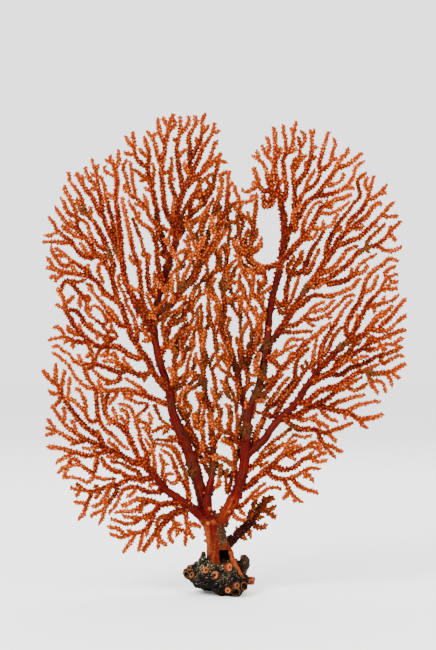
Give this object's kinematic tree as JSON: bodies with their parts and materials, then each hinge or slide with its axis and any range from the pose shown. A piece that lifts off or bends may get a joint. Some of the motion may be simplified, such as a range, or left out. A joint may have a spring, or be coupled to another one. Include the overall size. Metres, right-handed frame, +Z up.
{
  "type": "sea fan",
  "caption": "Dried branching sea fan standing upright on the small lump of encrusted rock it grew on.",
  "frame": {"origin": "on the surface that the rock stands on, under the middle of the whole", "axes": "+Z up the fan, X across its flat side, -Y towards the side that the picture shows"},
  "size_m": [0.2272, 0.0402, 0.3006],
  "materials": {
    "stem_rind": "satin",
    "twig_rind": "matte",
    "dark_rind": "matte",
    "rock": "matte"
  },
  "bodies": {
    "root": {"trunk": "stem_rind", "left_stem": "stem_rind", "left_upper_stem": "stem_rind", "middle_stem": "stem_rind", "right_stem": "stem_rind", "right_upper_stem": "stem_rind", "right_inner_stem": "stem_rind", "left_low_limb": "stem_rind", "left_low_spray_top": "twig_rind", "left_low_spray_outer": "twig_rind", "left_low_spray_middle": "twig_rind", "left_low_spray_lower": "twig_rind", "left_low_spray_bottom": "twig_rind", "left_base_spray": "twig_rind", "left_mid_limb": "twig_rind", "left_mid_spray_upper": "twig_rind", "left_mid_spray_middle": "twig_rind", "left_mid_spray_lower": "twig_rind", "upper_left_limb": "twig_rind", "upper_left_spray_outer": "twig_rind", "upper_left_spray_inner": "twig_rind", "upper_left_spray_right": "twig_rind", "crown_left_spray": "twig_rind", "crown_back_spray": "twig_rind", "crown_middle_spray": "twig_rind", "crown_top_spray": "twig_rind", "crown_right_spray": "twig_rind", "crown_inner_spray": "twig_rind", "middle_crown_limb": "twig_rind", "inner_left_spray": "twig_rind", "inner_middle_spray": "twig_rind", "inner_low_spray": "twig_rind", "right_crown_top_spray": "twig_rind", "right_crown_middle_spray": "twig_rind", "right_crown_outer_spray": "twig_rind", "right_crown_inner_spray": "twig_rind", "right_upper_limb": "twig_rind", "right_upper_twigs": "twig_rind", "right_mid_limb": "twig_rind", "right_mid_spray_outer": "twig_rind", "right_mid_spray_lower": "twig_rind", "right_limb": "stem_rind", "right_limb_spray_top": "twig_rind", "right_limb_spray_outer": "twig_rind", "right_limb_spray_middle": "twig_rind", "right_limb_spray_lower": "twig_rind", "right_limb_spray_broad": "twig_rind", "right_limb_spray_under": "twig_rind", "inner_right_spray": "twig_rind", "inner_right_upper_spray": "twig_rind", "inner_right_left_spray": "twig_rind", "right_low_limb": "twig_rind", "right_low_spray_upper": "twig_rind", "dark_base_spray": "dark_rind", "holdfast_rock": "rock"}
  },
  "joints": []
}
